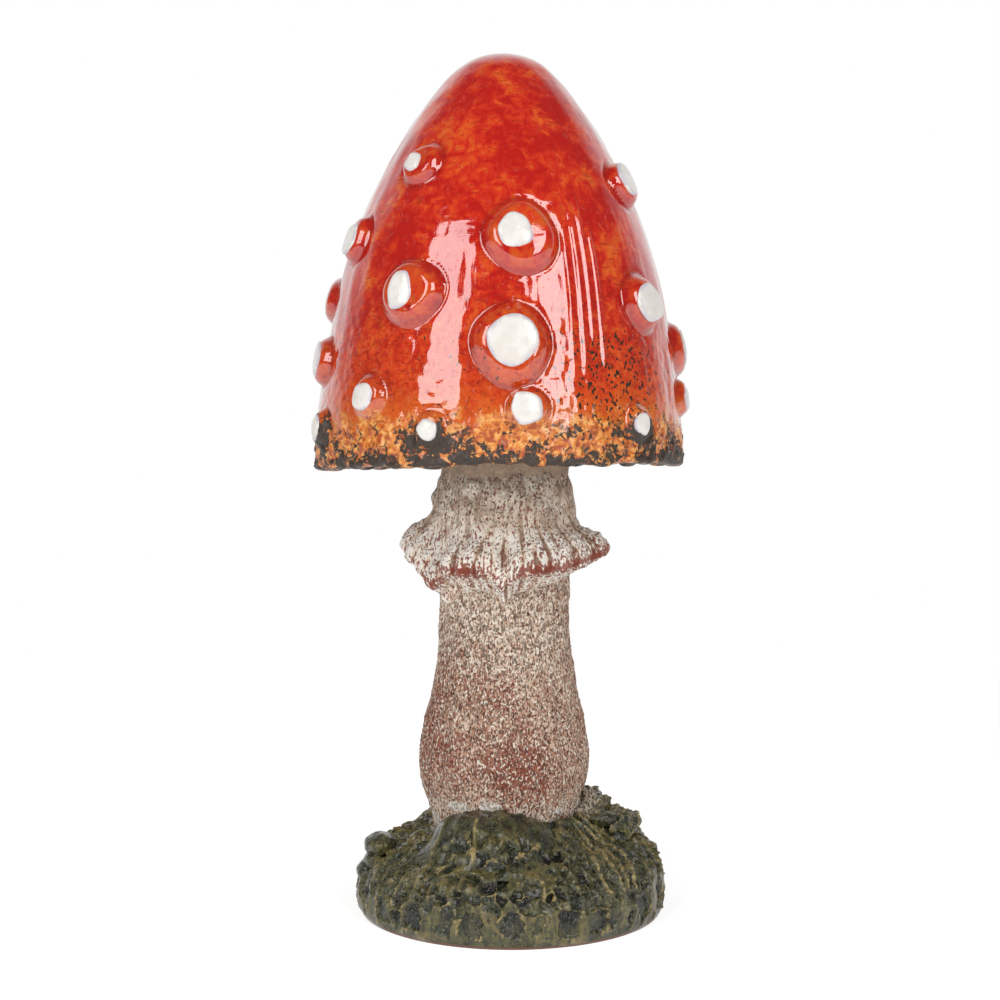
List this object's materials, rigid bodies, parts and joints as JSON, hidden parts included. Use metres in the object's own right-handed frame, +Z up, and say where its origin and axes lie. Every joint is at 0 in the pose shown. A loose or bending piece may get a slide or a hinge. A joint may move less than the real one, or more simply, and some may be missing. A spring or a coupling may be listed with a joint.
{
  "type": "mushroom ornament",
  "caption": "Glazed mushroom ornament: a tall hollow bell cap with raised white spots, a skirted stem that swells at its foot, and a round mossy mound to stand on.",
  "frame": {"origin": "on the table, under the middle of the cap", "axes": "+Z up, -Y towards the viewer of the picture, +X to that viewer's right"},
  "size_m": [0.0929, 0.0947, 0.21],
  "materials": {
    "red_glaze": "gloss",
    "white_enamel": "gloss",
    "stem_slip": "matte",
    "moss_glaze": "satin",
    "bedding": "matte"
  },
  "bodies": {
    "root": {"cap_shell": "red_glaze", "stem": "stem_slip", "skirt": "stem_slip", "crown_bed": "bedding", "foot_bed": "bedding", "moss_base": "moss_glaze", "moss_clump_right": "moss_glaze", "moss_clump_left": "moss_glaze", "moss_flap_front": "moss_glaze", "cap_spot_01": "white_enamel", "cap_spot_02": "white_enamel", "cap_spot_03": "white_enamel", "cap_spot_04": "white_enamel", "cap_spot_05": "white_enamel", "cap_spot_06": "white_enamel", "cap_spot_07": "white_enamel", "cap_spot_08": "white_enamel", "cap_spot_09": "white_enamel", "cap_spot_10": "white_enamel", "cap_spot_11": "white_enamel", "cap_spot_12": "white_enamel", "cap_spot_13": "white_enamel", "cap_spot_14": "white_enamel", "cap_spot_15": "white_enamel", "cap_spot_16": "white_enamel", "cap_spot_17": "white_enamel", "cap_spot_18": "white_enamel", "cap_spot_19": "white_enamel", "cap_spot_20": "white_enamel", "cap_spot_21": "white_enamel", "cap_spot_22": "white_enamel", "cap_spot_23": "white_enamel", "cap_spot_24": "white_enamel", "cap_spot_25": "white_enamel", "cap_spot_26": "white_enamel", "cap_spot_27": "white_enamel", "cap_spot_28": "white_enamel", "cap_spot_29": "white_enamel"}
  },
  "joints": []
}
